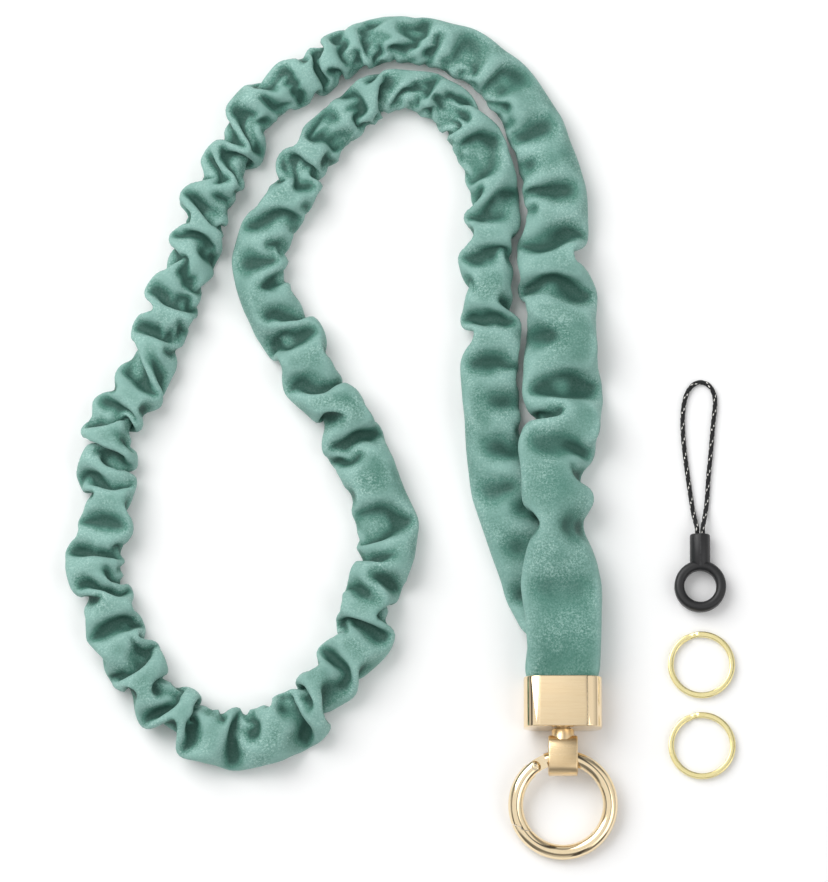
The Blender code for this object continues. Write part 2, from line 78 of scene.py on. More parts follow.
def pick(obj, part, test):
    # edit mode, with only the vertices, edges or faces that pass the test selected
    selectOnly(obj)
    bpy.ops.object.mode_set(mode="EDIT")
    bpy.ops.mesh.select_mode(type=part)
    bpy.ops.mesh.select_all(action="DESELECT")
    mesh = bmesh.from_edit_mesh(obj.data)
    for item in {"VERT": mesh.verts, "EDGE": mesh.edges, "FACE": mesh.faces}[part]:
        if test(item):
            item.select_set(True)
    mesh.select_flush_mode()
    bmesh.update_edit_mesh(obj.data)


def outOfEdit():
    bpy.ops.object.mode_set(mode="OBJECT")


def recalculate(obj):
    pick(obj, "FACE", lambda face: True)
    bpy.ops.mesh.normals_make_consistent(inside=False)
    outOfEdit()


def boolean(obj, tool, operation="DIFFERENCE"):
    applied(obj, "BOOLEAN", operation=operation, solver="EXACT", object=tool)
    bpy.data.objects.remove(tool)


def smooth(obj, angle=32):
    selectOnly(obj)
    bpy.ops.object.shade_smooth_by_angle(angle=math.radians(angle))


def softEdges(obj, width, segments=3, angle=35):
    applied(obj, "BEVEL", width=width, segments=segments, limit_method="ANGLE", angle_limit=math.radians(angle),
            harden_normals=False, miter_outer="MITER_ARC", use_clamp_overlap=True)
    applied(obj, "WELD", merge_threshold=0.002 * mm)
    recalculate(obj)


def place(obj, matrix):
    obj.matrix_world = matrix @ obj.matrix_world
    applyPlace(obj)


def turned(name, profile, sides=64):
    # a solid turned about Z from (height, radius) pairs, bottom first
    height, radius = profile[0]
    bpy.ops.object.select_all(action="DESELECT")
    bpy.ops.mesh.primitive_circle_add(vertices=sides, radius=radius, fill_type="NGON", location=(0, 0, height))
    obj = named(name)
    applyPlace(obj)
    bpy.ops.object.mode_set(mode="EDIT")
    bpy.ops.mesh.select_all(action="SELECT")
    for (low, narrow), (high, wide) in zip(profile, profile[1:]):
        bpy.ops.mesh.extrude_region_move(TRANSFORM_OT_translate={"value": (0, 0, high - low)})
        bpy.ops.transform.resize(value=(wide / narrow, wide / narrow, 1), center_override=(0, 0, high))
    outOfEdit()
    recalculate(obj)
    return obj


def prism(name, outline, low, high):
    # an outline of (x, y) points filled and pushed up
    mesh = bpy.data.meshes.new(name)
    mesh.from_pydata([(x, y, low) for x, y in outline], [], [range(len(outline))])
    obj = bpy.data.objects.new(name, mesh)
    bpy.context.scene.collection.objects.link(obj)
    pick(obj, "FACE", lambda face: True)
    bpy.ops.mesh.extrude_region_move(TRANSFORM_OT_translate={"value": (0, 0, high - low)})
    outOfEdit()
    recalculate(obj)
    return obj


def polar(radius, degrees, height=0.0):
    return Vector((math.cos(math.radians(degrees)) * radius, math.sin(math.radians(degrees)) * radius, height))


def finish(obj, body, slotName, material, *nodes):
    # the material, the body it rides on, and the CAD nodes it stands for
    obj.data.materials.clear()
    obj.data.materials.append(material)
    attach(obj, body)
    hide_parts(*nodes)
    return obj


# Helpers for node trees
def put(tree, kind, inputs=None, **settings):
    node = tree.nodes.new("ShaderNode" + kind)
    for key, value in settings.items():
        setattr(node, key, value)
    for key, value in (inputs or {}).items():
        if isinstance(value, bpy.types.NodeSocket):
            tree.links.new(value, node.inputs[key])
        else:
            node.inputs[key].default_value = value
    return node


def rgb(red, green, blue):
    # screen colour, 0 to 255, to the shader's linear one
    return tuple(((c / 255 + 0.055) / 1.055) ** 2.4 if c > 10 else c / 255 / 12.92 for c in (red, green, blue)) + (1,)


def calc(tree, operation, a, b=0.5, c=0.5, clamp=False):
    return put(tree, "Math", {0: a, 1: b, 2: c}, operation=operation, use_clamp=clamp).outputs[0]


def mixColour(tree, factor, a, b):
    return put(tree, "Mix", {0: factor, 6: a, 7: b}, data_type="RGBA").outputs[2]


def noise(tree, where, scale, detail, **more):
    return put(tree, "TexNoise", {"Vector": where, "Scale": scale, "Detail": detail, **more}).outputs["Fac"]


def bumped(tree, shader, strength, distance, height):
    bump = put(tree, "Bump", {"Strength": strength, "Distance": distance, "Height": height})
    tree.links.new(bump.outputs[0], shader.inputs["Normal"])


def ramp(tree, value, low, high, fromValue=0.0, toValue=1.0):
    inputs = {"Value": value, "From Min": low, "From Max": high, "To Min": fromValue, "To Max": toValue}
    return put(tree, "MapRange", inputs, clamp=True).outputs[0]


def newGroup(name, inputs, outputs):
    tree = bpy.data.node_groups.new(name, "ShaderNodeTree")
    for label, kind, value in inputs:
        socket = tree.interface.new_socket(label, in_out="INPUT", socket_type="NodeSocket" + kind)
        if kind == "Float":
            socket.default_value = value
    for label, kind in outputs:
        tree.interface.new_socket(label, in_out="OUTPUT", socket_type="NodeSocket" + kind)
    start = tree.nodes.new("NodeGroupInput")
    end = tree.nodes.new("NodeGroupOutput")
    return tree, start.outputs, end.inputs


def useGroup(tree, group, inputs):
    node = tree.nodes.new("ShaderNodeGroup")
    node.node_tree = group
    for key, value in inputs.items():
        if isinstance(value, bpy.types.NodeSocket):
            tree.links.new(value, node.inputs[key])
        else:
            node.inputs[key].default_value = value
    return node.outputs


def newMaterial(name, **plain):
    made = bpy.data.materials.new(name)
    made.use_nodes = True
    tree = made.node_tree
    shader = tree.nodes["Principled BSDF"]
    for key, value in plain.items():
        shader.inputs[key.replace("_", " ")].default_value = value
    return made, tree, shader


# Node groups that several materials share
def makeEdgeWear():
    # convex edges, broken up by noise
    tree, start, end = newGroup("edgeWear", [("Sharpness", "Float", 0.56), ("Break Up", "Float", 900)],
                                [("Mask", "Float")])
    point = put(tree, "NewGeometry").outputs["Pointiness"]
    where = put(tree, "TexCoord").outputs["Object"]
    cloudy = noise(tree, where, start["Break Up"], 3)
    limit = calc(tree, "ADD", start["Sharpness"], 0.05)
    edge = ramp(tree, point, start["Sharpness"], limit)
    tree.links.new(calc(tree, "MULTIPLY", edge, ramp(tree, cloudy, 0.35, 0.6)), end["Mask"])
    return tree


def makeSmudges():
    # slow changes of gloss, as from handling
    tree, start, end = newGroup("smudges", [("Size", "Float", 120)], [("Value", "Float")])
    where = put(tree, "TexCoord").outputs["Object"]
    broad = noise(tree, where, start["Size"], 4, Distortion=0.6)
    fine = noise(tree, where, calc(tree, "MULTIPLY", start["Size"], 14.0), 2)
    tree.links.new(calc(tree, "MULTIPLY_ADD", fine, 0.3, calc(tree, "MULTIPLY", broad, 0.7)), end["Value"])
    return tree


def makeBrushing():
    # fine parallel scratches. Stretch is the scale along each axis.
    tree, start, end = newGroup("brushing", [("Stretch", "Vector", None), ("Scale", "Float", 1)],
                                [("Height", "Float"), ("Streak", "Float")])
    where = put(tree, "TexCoord").outputs["Object"]
    drawn = put(tree, "VectorMath", {0: where, 1: start["Stretch"]}, operation="MULTIPLY").outputs[0]
    fine = noise(tree, drawn, start["Scale"], 4, Roughness=0.7)
    half = calc(tree, "MULTIPLY", start["Scale"], 0.22)
    broad = noise(tree, drawn, half, 2)
    tree.links.new(fine, end["Height"])
    tree.links.new(calc(tree, "MULTIPLY_ADD", fine, 0.6, calc(tree, "MULTIPLY", broad, 0.4)), end["Streak"])
    return tree


def makeWeave():
    # a twill from the piece's own UV, which is in metres
    tree, start, end = newGroup("weave", [("Pitch", "Float", 0.0004), ("Slant", "Float", 0.5)],
                                [("Height", "Float"), ("Cell", "Float")])
    uv = put(tree, "UVMap", uv_map="cut").outputs[0]
    split = put(tree, "SeparateXYZ", {0: uv}).outputs
    across = calc(tree, "DIVIDE", split[0], start["Pitch"])
    along = calc(tree, "DIVIDE", split[1], start["Pitch"])
    row = calc(tree, "FLOOR", along)
    shifted = calc(tree, "MULTIPLY_ADD", row, start["Slant"], across)
    warp = calc(tree, "PINGPONG", shifted, 0.5)
    weft = calc(tree, "PINGPONG", along, 0.5)
    height = calc(tree, "MULTIPLY", calc(tree, "MULTIPLY", warp, 2.0), calc(tree, "MULTIPLY", weft, 2.0))
    tree.links.new(height, end["Height"])
    cell = put(tree, "CombineXYZ", {0: calc(tree, "FLOOR", shifted), 1: row}).outputs[0]
    tree.links.new(put(tree, "TexWhiteNoise", {"Vector": cell}, noise_dimensions="2D").outputs["Value"], end["Cell"])
    return tree


def makeGrain():
    # moulded or pressed surface grain
    tree, start, end = newGroup("grain", [("Scale", "Float", 2500)], [("Height", "Float")])
    where = put(tree, "TexCoord").outputs["Object"]
    cloudy = noise(tree, where, start["Scale"], 5, Roughness=0.65)
    tree.links.new(cloudy, end["Height"])
    return tree


edgeWear, smudges, brushing = makeEdgeWear(), makeSmudges(), makeBrushing()
weave, grain = makeWeave(), makeGrain()


# Materials
def clothMaterial():
    made, tree, shader = newMaterial("gatheredCloth", Sheen_Weight=0.12, Sheen_Roughness=0.4, Specular_IOR_Level=0.3)
    shader.inputs["Sheen Tint"].default_value = rgb(190, 224, 214)
    where = put(tree, "TexCoord").outputs["Object"]
    patch = noise(tree, where, 55, 3)
    pile = noise(tree, where, 1700, 4, Roughness=0.8)
    area = noise(tree, where, 110, 3)
    wrinkle = noise(tree, where, 210, 5, Distortion=1.2)
    cut = useGroup(tree, weave, {"Pitch": 0.00042, "Slant": 0.5})
    fold = put(tree, "Attribute", attribute_name="fold").outputs["Fac"]
    base = mixColour(tree, ramp(tree, patch, 0.3, 0.7), rgb(66, 117, 103), rgb(84, 136, 123))
    # painted highlight: pale flecks painted into the colour where the nap would glint, most of all on the crests
    lit = ramp(tree, fold, 0.3, 0.75, 0.35, 1.0)
    paintedGlints = calc(tree, "MULTIPLY", ramp(tree, pile, 0.47, 0.66), ramp(tree, area, 0.38, 0.66, 0.15, 0.85))
    base = mixColour(tree, calc(tree, "MULTIPLY", paintedGlints, lit), base, rgb(196, 226, 219))
    base = mixColour(tree, ramp(tree, pile, 0.48, 0.3, 0, 0.5), base, rgb(46, 94, 81))
    base = mixColour(tree, ramp(tree, cut["Cell"], 0.0, 1.0, 0.0, 0.16), base, rgb(140, 188, 176))
    # painted shade: creases darkened in the colour
    base = mixColour(tree, ramp(tree, fold, 0.44, 0.04, 0.0, 0.72), base, rgb(12, 52, 43))
    # painted highlight: crests lightened in the colour
    base = mixColour(tree, ramp(tree, fold, 0.55, 0.95, 0.0, 0.5), base, rgb(166, 206, 198))
    seam = ramp(tree, put(tree, "Attribute", attribute_name="seam").outputs["Fac"], 0.76, 0.96)
    base = mixColour(tree, calc(tree, "MULTIPLY", seam, 0.6), base, rgb(40, 88, 75))
    tree.links.new(base, shader.inputs["Base Color"])
    tree.links.new(ramp(tree, pile, 0.3, 0.8, 0.72, 0.42), shader.inputs["Roughness"])
    height = calc(tree, "MULTIPLY_ADD", cut["Height"], 0.4, pile)
    height = calc(tree, "MULTIPLY_ADD", wrinkle, 3.2, height)
    height = calc(tree, "MULTIPLY_ADD", seam, -1.2, height)
    bumped(tree, shader, 0.55, 0.00016, height)
    return made


def goldMaterial(name, colour, deep, rough, brushed=0.0, stretch=(1, 1, 1), scale=1.0, wear=0.35):
    # plated metal. Brushed is how much of the scratched finish shows.
    made, tree, shader = newMaterial(name, Metallic=1.0)
    dull = useGroup(tree, smudges, {"Size": 140})["Value"]
    lines = useGroup(tree, brushing, {"Stretch": stretch, "Scale": scale})
    worn = useGroup(tree, edgeWear, {"Sharpness": 0.56, "Break Up": 700})["Mask"]
    tone = mixColour(tree, ramp(tree, dull, 0.35, 0.7, 0.0, 0.35), colour, deep)
    tone = mixColour(tree, calc(tree, "MULTIPLY", worn, wear), tone, rgb(252, 240, 214))
    if brushed:
        tone = mixColour(tree, ramp(tree, lines["Streak"], 0.35, 0.68, 0.0, 0.5 * brushed), tone, deep)
    tree.links.new(tone, shader.inputs["Base Color"])
    base = ramp(tree, dull, 0.3, 0.75, rough, rough + 0.07)
    if brushed:
        base = calc(tree, "ADD", base, ramp(tree, lines["Streak"], 0.3, 0.7, 0.0, 0.16 * brushed))
        bumped(tree, shader, 0.25 * brushed, 0.00005, lines["Height"])
    tree.links.new(base, shader.inputs["Roughness"])
    return made


def capMaterial():
    # brushed on the flat front and back, polished round the sides
    made, tree, shader = newMaterial("capGold", Metallic=1.0)
    normal = put(tree, "SeparateXYZ", {0: put(tree, "TexCoord").outputs["Normal"]}).outputs[2]
    flat = ramp(tree, calc(tree, "ABSOLUTE", normal), 0.975, 0.998)
    dull = useGroup(tree, smudges, {"Size": 160})["Value"]
    lines = useGroup(tree, brushing, {"Stretch": (0.05, 1.0, 1.0), "Scale": 6500})
    worn = useGroup(tree, edgeWear, {"Sharpness": 0.57, "Break Up": 700})["Mask"]
    tone = mixColour(tree, flat, rgb(243, 220, 182), rgb(240, 218, 180))
    streak = calc(tree, "MULTIPLY", ramp(tree, lines["Streak"], 0.38, 0.66, 0.0, 0.5), flat)
    tone = mixColour(tree, streak, tone, rgb(220, 192, 146))
    tone = mixColour(tree, calc(tree, "MULTIPLY", worn, 0.3), tone, rgb(252, 240, 214))
    tree.links.new(tone, shader.inputs["Base Color"])
    rough = calc(tree, "MULTIPLY_ADD", flat, 0.26, ramp(tree, dull, 0.3, 0.7, 0.05, 0.1))
    tree.links.new(calc(tree, "MULTIPLY_ADD", streak, 0.25, rough), shader.inputs["Roughness"])
    height = calc(tree, "MULTIPLY", lines["Height"], flat)
    bumped(tree, shader, 0.2, 0.00004, height)
    return made


def steelMaterial(name, tone, rough):
    made, tree, shader = newMaterial(name, Metallic=1.0)
    dull = useGroup(tree, smudges, {"Size": 260})["Value"]
    lines = useGroup(tree, brushing, {"Stretch": (1.0, 0.08, 1.0), "Scale": 9000})
    worn = useGroup(tree, edgeWear, {"Sharpness": 0.55, "Break Up": 1200})["Mask"]
    colour = mixColour(tree, ramp(tree, dull, 0.35, 0.65, 0, 0.4), tone, tuple(c * 0.7 for c in tone[:3]) + (1,))
    colour = mixColour(tree, calc(tree, "MULTIPLY", worn, 0.5), colour, rgb(236, 234, 230))
    tree.links.new(colour, shader.inputs["Base Color"])
    tree.links.new(ramp(tree, lines["Streak"], 0.3, 0.7, rough, rough + 0.14), shader.inputs["Roughness"])
    bumped(tree, shader, 0.15, 0.00003, lines["Height"])
    return made


def mouldedMaterial():
    made, tree, shader = newMaterial("blackMoulding", Specular_IOR_Level=0.5)
    dull = useGroup(tree, smudges, {"Size": 150})["Value"]
    fine = useGroup(tree, grain, {"Scale": 2600})["Height"]
    worn = useGroup(tree, edgeWear, {"Sharpness": 0.56, "Break Up": 800})["Mask"]
    tone = mixColour(tree, ramp(tree, dull, 0.3, 0.7), rgb(20, 20, 22), rgb(32, 32, 34))
    tone = mixColour(tree, calc(tree, "MULTIPLY", worn, 0.3), tone, rgb(84, 84, 86))
    tree.links.new(tone, shader.inputs["Base Color"])
    tree.links.new(ramp(tree, fine, 0.3, 0.7, 0.36, 0.52), shader.inputs["Roughness"])
    bumped(tree, shader, 0.3, 0.00006, fine)
    return made


def braidMaterial():
    # dark yarns, with the tracer yarn white where it shows
    made, tree, shader = newMaterial("blackBraid", Sheen_Weight=0.2, Sheen_Roughness=0.5, Specular_IOR_Level=0.3)
    tracer = put(tree, "Attribute", attribute_name="tracer").outputs["Fac"]
    relief = put(tree, "Attribute", attribute_name="relief").outputs["Fac"]
    fine = useGroup(tree, grain, {"Scale": 5200})["Height"]
    # painted shade: darker down between the yarns, from the relief
    tone = mixColour(tree, ramp(tree, relief, 0.0, 1.0), rgb(6, 6, 7), rgb(26, 26, 28))
    tone = mixColour(tree, ramp(tree, fine, 0.5, 0.7, 0.0, 0.25), tone, rgb(60, 60, 62))
    tone = mixColour(tree, ramp(tree, tracer, 0.4, 0.6), tone, rgb(222, 220, 214))
    tree.links.new(tone, shader.inputs["Base Color"])
    tree.links.new(ramp(tree, fine, 0.3, 0.7, 0.62, 0.85), shader.inputs["Roughness"])
    bumped(tree, shader, 0.4, 0.00006, fine)
    return made


def webbingMaterial():
    # the woven strap inside: ribs across it, on its own coordinates
    made, tree, shader = newMaterial("wovenCore", Sheen_Weight=0.15, Specular_IOR_Level=0.3)
    fine = useGroup(tree, grain, {"Scale": 3200})["Height"]
    dull = useGroup(tree, smudges, {"Size": 200})["Value"]
    where = put(tree, "TexCoord").outputs["Object"]
    waves = {"Vector": where, "Scale": 420, "Distortion": 1.2, "Detail": 2}
    ribs = put(tree, "TexWave", waves, bands_direction="DIAGONAL").outputs["Fac"]
    tone = mixColour(tree, ribs, rgb(48, 92, 80), rgb(82, 132, 117))
    tone = mixColour(tree, ramp(tree, dull, 0.3, 0.7, 0, 0.4), tone, rgb(60, 108, 95))
    tree.links.new(tone, shader.inputs["Base Color"])
    tree.links.new(ramp(tree, fine, 0.3, 0.7, 0.7, 0.9), shader.inputs["Roughness"])
    height = calc(tree, "MULTIPLY_ADD", fine, 0.4, ribs)
    bumped(tree, shader, 0.5, 0.0001, height)
    return made


def glueMaterial():
    made, tree, shader = newMaterial("setGlue", Specular_IOR_Level=0.5)
    dull = useGroup(tree, smudges, {"Size": 400})["Value"]
    fine = useGroup(tree, grain, {"Scale": 900})["Height"]
    tone = mixColour(tree, ramp(tree, dull, 0.3, 0.7), rgb(206, 196, 170), rgb(226, 219, 200))
    tree.links.new(tone, shader.inputs["Base Color"])
    tree.links.new(ramp(tree, fine, 0.3, 0.7, 0.2, 0.4), shader.inputs["Roughness"])
    bumped(tree, shader, 0.3, 0.0002, fine)
    return made


print("materials")
cloth = clothMaterial()
capGold = capMaterial()
paleGold, deepGold = rgb(247, 228, 192), rgb(234, 206, 158)
ringGold = goldMaterial("ringGold", paleGold, deepGold, 0.07, wear=0.25)
eyeGold = goldMaterial("eyeGold", rgb(243, 219, 178), rgb(214, 182, 132), 0.2, 1.0, (0.04, 1.0, 1.0), 5200)
yellowGold = goldMaterial("yellowGold", rgb(250, 238, 182), rgb(236, 216, 136), 0.12, 0.4, (1.0, 1.0, 0.1), 3000)
steel = steelMaterial("springSteel", rgb(196, 194, 190), 0.22)
crimpBrass = steelMaterial("crimpBrass", rgb(206, 176, 110), 0.3)
blackMoulding, blackBraid = mouldedMaterial(), braidMaterial()
webbing, setGlue = webbingMaterial(), glueMaterial()


# Camera and light
shot = {"elevation": 80.0, "distance": 2.2, "width": 0.2494, "target": (0.003, -0.0001, 0.0),
        "sensor": 36, "high": 882, "wide": 828}
studio = {"key": 8.5, "keySize": 0.9, "keyPlace": (-0.58, 0.44, 0.8), "fill": 1.6, "fillPlace": (0.6, -0.5, 0.8),
          # axis, from, to, softness, depth
          "strips": [
              (0, 0.15, 0.36, 0.03, 0.95), (0, -0.96, -0.84, 0.03, 0.95),
              (1, 0.42, 0.9, 0.12, 0.7), (1, -0.95, -0.5, 0.1, 0.8),
          ]}


def makeCamera():
    tilt = math.radians(shot["elevation"])
    camera = bpy.data.objects.new("camera", bpy.data.cameras.new("camera"))
    bpy.context.scene.collection.objects.link(camera)
    target = Vector(shot["target"])
    camera.location = target + Vector((0, -math.cos(tilt), math.sin(tilt))) * shot["distance"]
    camera.rotation_euler = (target - camera.location).to_track_quat("-Z", "Y").to_euler()
    camera.data.sensor_width = shot["sensor"]
    # the sensor's long side lies along the view's height
    camera.data.lens = shot["sensor"] * shot["distance"] / (shot["width"] * shot["high"] / shot["wide"])
    camera.data.clip_start, camera.data.clip_end = 0.05, 20
    bpy.context.scene.camera = camera


def areaLight(name, power, size, location, aim=(0, 0, 0)):
    light = bpy.data.objects.new(name, bpy.data.lights.new(name, "AREA"))
    bpy.context.scene.collection.objects.link(light)
    light.data.energy, light.data.size = power, size
    light.location = location
    light.rotation_euler = (Vector(aim) - light.location).to_track_quat("-Z", "Y").to_euler()


def makeStudio():
    areaLight("keyLight", studio["key"], studio["keySize"], studio["keyPlace"])
    areaLight("fillLight", studio["fill"], 0.7, studio["fillPlace"])
    world = bpy.data.worlds.new("studio")
    bpy.context.scene.world = world
    world.use_nodes = True
    tree = world.node_tree
    # bright above, darker towards the horizon, so that metal has something to mirror
    toward = put(tree, "SeparateXYZ", {0: put(tree, "TexCoord").outputs["Generated"]}).outputs
    sky = ramp(tree, toward[2], 0.0, 0.6, 0.45, 1.0)
    # dark strips across the sky draw the lines in polished metal
    for axis, start, end, softness, depth in studio["strips"]:
        strip = calc(tree, "MULTIPLY", ramp(tree, toward[axis], start, start + softness),
                     ramp(tree, toward[axis], end, end - softness))
        sky = calc(tree, "MULTIPLY_ADD", calc(tree, "MULTIPLY", sky, strip), -depth, sky)
    background = tree.nodes["Background"]
    tree.links.new(mixColour(tree, sky, (0.06, 0.06, 0.065, 1), (1, 1, 1, 1)), background.inputs["Color"])
    background.inputs["Strength"].default_value = 0.92
    bpy.context.scene.view_settings.view_transform = "Standard"
    bpy.ops.mesh.primitive_plane_add(size=12, location=(0, 0, -0.00005))
    floor = named("floor")
    applyPlace(floor)
    made, tree, shader = newMaterial("paleFloor", Specular_IOR_Level=0.2)
    where = put(tree, "TexCoord").outputs["Object"]
    cloudy = noise(tree, where, 300, 3)
    tree.links.new(mixColour(tree, cloudy, (0.96, 0.96, 0.96, 1), (0.98, 0.98, 0.98, 1)), shader.inputs["Base Color"])
    shader.inputs["Roughness"].default_value = 0.75
    floor.data.materials.append(made)


print("camera and light")
makeCamera()
makeStudio()


# Lines that the strap and the tether cord follow
def smoothLine(points, perStretch=24):
    # a Catmull-Rom line through rows of numbers, with its length along it
    rows = np.array([points[0], *points, points[-1]], float)
    fine = []
    for a, b, c, d in zip(rows, rows[1:], rows[2:], rows[3:]):
        for t in np.linspace(0, 1, perStretch, endpoint=False):
            curve = 2 * b + (c - a) * t + (2 * a - 5 * b + 4 * c - d) * t**2 + (3 * b - 3 * c + d - a) * t**3
            fine.append(curve / 2)
    fine.append(rows[-1])
    fine = np.array(fine)
    along = np.concatenate([[0], np.cumsum(np.linalg.norm(np.diff(fine[:, :3], axis=0), axis=1))])
    return fine, along


def resample(fine, along, places):
    return np.array([np.interp(places, along, column) for column in fine.T]).T


def tubeFaces(rings, around):
    return [(i * around + j, i * around + (j + 1) % around, (i + 1) * around + (j + 1) % around, (i + 1) * around + j)
            for i in range(rings - 1) for j in range(around)]


def linkMesh(name, points, faces):
    mesh = bpy.data.meshes.new(name)
    mesh.from_pydata(np.asarray(points).tolist(), [], faces)
    obj = bpy.data.objects.new(name, mesh)
    bpy.context.scene.collection.objects.link(obj)
    return obj


# Tether cord: a braided loop, both ends in the barrel
tetherCord = {
    "diameter": 1.45 * mm, "around": 24, "step": 0.3 * mm, "relief": 0.11, "strands": 4, "turn": 9.2 * mm,
    "apart": 0.875, "ends": (-36.3, -29.1, -27.1), "middle": 88.8, "level": 3.05, "lying": 0.745,
    # middle line outside the barrel in mm: x, y
    "route": [
        (86.9, -22), (85.6, -13), (84.6, -5), (84.0, 2), (84.0, 8), (84.8, 13), (86.6, 16.4),
        (89.1, 17.7), (91.7, 16.9), (93.4, 14.2), (93.7, 10.6), (93.1, 5), (92.4, -3), (91.6, -11), (90.9, -20),
    ],
}


def makeTetherCord():
    c = tetherCord
    up = [(c["middle"] - c["apart"], y, c["level"]) for y in c["ends"]]
    down = [(c["middle"] + c["apart"], y, c["level"]) for y in c["ends"][::-1]]
    fine, along = smoothLine(up + [(x, y, c["lying"]) for x, y in c["route"]] + down)
    fine, along = fine * mm, along * mm
    fine[:, 2] = np.maximum(fine[:, 2], c["lying"] * mm)
    count = round(along[-1] / c["step"])
    places = np.linspace(0, along[-1], count + 1)
    line = resample(fine, along, places)
    heading = np.gradient(line, axis=0)
    heading /= np.linalg.norm(heading, axis=1)[:, None]
    side = np.cross(heading, (0, 0, 1))
    side /= np.linalg.norm(side, axis=1)[:, None]
    over = np.cross(side, heading)
    turn = 2 * np.pi * np.arange(c["around"]) / c["around"]
    climb = 2 * np.pi * places[:, None] / c["turn"] * c["strands"]
    left = np.cos(c["strands"] * turn[None] + climb)
    right = np.cos(c["strands"] * turn[None] - climb)
    relief = np.maximum(left, right) * 0.5 + 0.5
    radius = c["diameter"] / 2 * (1 - c["relief"] + c["relief"] * relief)
    outward = side[:, None] * np.cos(turn)[None, :, None] + over[:, None] * np.sin(turn)[None, :, None]
    points = line[:, None] + outward * radius[..., None]
    k = c["around"]
    faces = tubeFaces(count + 1, k)
    faces += [tuple(range(k))[::-1], tuple(range(count * k, (count + 1) * k))]
    cord = linkMesh("tether_cord_braid", points.reshape(-1, 3), faces)
    mesh = cord.data
    recalculate(cord)
    # two yarns of the left-hand set are white
    which = (c["strands"] * turn[None] + climb) % (np.pi * c["strands"])
    white = (np.abs(which - np.pi * c["strands"] / 2) < 1.1) & (left > right + 0.7)
    mesh.attributes.new("tracer", "FLOAT", "POINT").data.foreach_set("value", white.astype(float).ravel())
    mesh.attributes.new("relief", "FLOAT", "POINT").data.foreach_set("value", relief.ravel())
    for polygon in mesh.polygons:
        polygon.use_smooth = True
    finish(cord, "tether", "black_braid", blackBraid, "tether_cord")
    print("tether cord", round(along[-1] / mm, 1), "mm")


makeTetherCord()


# Sleeve: a sewn tube, longer than the strap, pushed along it and left to crumple
sleeve = {
    "around": 22, "step": 2.8, "scale": 20, "frames": 30, "seed": 11, "seamColumn": 13,
    "endDepth": 5.0, "depth": 7.6, "ease": 120, "lobe": 15, "held": 9.8, "wall": 0.42,
    "crisp": 0.5, "crest": 10.5, "flatten": 0.45,
    "core": (8.8, 4.0), "floor": 0.35,
    # the cloth solver's own values, for a tube twenty times the real size
    "fabric": {
        "quality": 5, "mass": 0.3, "air_damping": 3, "shear_stiffness": 8, "bending_stiffness": 25,
        "tension_stiffness": 6, "compression_stiffness": 6, "tension_damping": 5, "compression_damping": 5,
        "shear_damping": 5, "bending_damping": 0.5,
    },
    "friction": 10, "selfFriction": 5, "touching": 0.5, "selfTouching": 1.0, "skin": 0.25,
    # along the strap in mm, how many times longer than the strap the tube is cut, girth in mm
    "cut": [
        (0, 1.02, 45), (14, 1.08, 50), (40, 1.24, 60), (70, 1.26, 60), (95, 1.2, 56), (130, 1.16, 52),
        (165, 1.22, 46), (200, 1.36, 38), (240, 1.46, 36), (290, 1.54, 38), (340, 1.6, 40), (400, 1.64, 41),
        (450, 1.68, 42), (520, 1.62, 44), (560, 1.5, 44), (590, 1.34, 43), (640, 1.24, 43), (680, 1.34, 40),
        (710, 1.44, 36), (750, 1.46, 36), (790, 1.26, 41), (840, 1.13, 42), (870, 1.1, 43), (905, 1.08, 46),
        (926, 1.05, 47), (945, 1.02, 45),
    ],
    # middle line in mm: x, y, height, width
    "route": [
        (48.0, -60, 9.6, 25.5), (47, -46, 9.9, 28), (46, -33, 9.7, 28.5), (46, -18, 9.0, 27),
        (45.6, -3, 7.2, 21.8), (45.2, 12, 5.4, 20.8), (44.8, 27, 4.6, 20.4), (44.4, 43, 4.5, 20.4),
        (42.6, 58, 4.5, 18.2), (42.4, 73, 4.5, 17.2), (39, 88, 4.5, 15), (32, 104, 4.5, 14),
        (20, 115.5, 4.5, 13.6), (4, 121.2, 4.5, 13), (-11, 120.8, 4.5, 13), (-27, 112.6, 4.5, 13),
        (-42.5, 102.5, 4.5, 14), (-51.5, 88, 4.5, 15), (-58, 73, 4.5, 15), (-63, 58, 4.5, 14),
        (-70, 40, 4.5, 15), (-77, 21, 4.5, 15), (-86, 6, 4.5, 14), (-88, -9, 4.5, 15),
        (-90, -27, 4.5, 14), (-90, -44, 4.5, 16), (-85, -61, 4.5, 16), (-74, -78, 4.5, 16),
        (-58, -88, 4.5, 16), (-43, -88, 4.5, 15), (-28, -80, 4.5, 15), (-15, -65, 4.5, 16),
        (-10, -49, 4.5, 17), (-8, -30, 4.5, 14), (-12, -12, 4.5, 15), (-18, 3, 4.5, 16),
        (-26, 18, 4.5, 17), (-34, 34, 4.5, 16), (-41, 47, 4.5, 15), (-41, 59, 4.5, 15),
        (-35, 72, 4.5, 14), (-28.5, 85, 4.5, 13.6), (-18, 97.5, 4.5, 12.8), (-3, 106.8, 4.5, 12.6),
        (12, 102, 4.5, 12.6), (21.5, 89, 4.5, 13), (26, 73, 4.5, 13), (26.2, 55, 4.5, 13),
        (26.4, 40, 4.5, 12.6), (27.4, 26, 4.4, 12), (28.6, 10, 4.2, 11.4), (29.6, -5, 3.9, 11.4),
        (33, -20, 3.6, 13), (38, -34, 3.5, 16), (42, -46, 3.5, 19), (45.5, -60, 3.5, 20.5),
    ],
    "cap": {"x": 47.4, "mouth": -72.8, "end": -82.0, "middle": 6.5, "level": 2.85, "width": 20.4},
}


def strapLine():
    cap = sleeve["cap"]
    upper = [(cap["x"], y, cap["middle"] + cap["level"], cap["width"]) for y in (cap["end"], cap["mouth"])]
    lower = [(cap["x"], y, cap["middle"] - cap["level"], cap["width"]) for y in (cap["mouth"], cap["end"])]
    return smoothLine(upper + sleeve["route"] + lower)


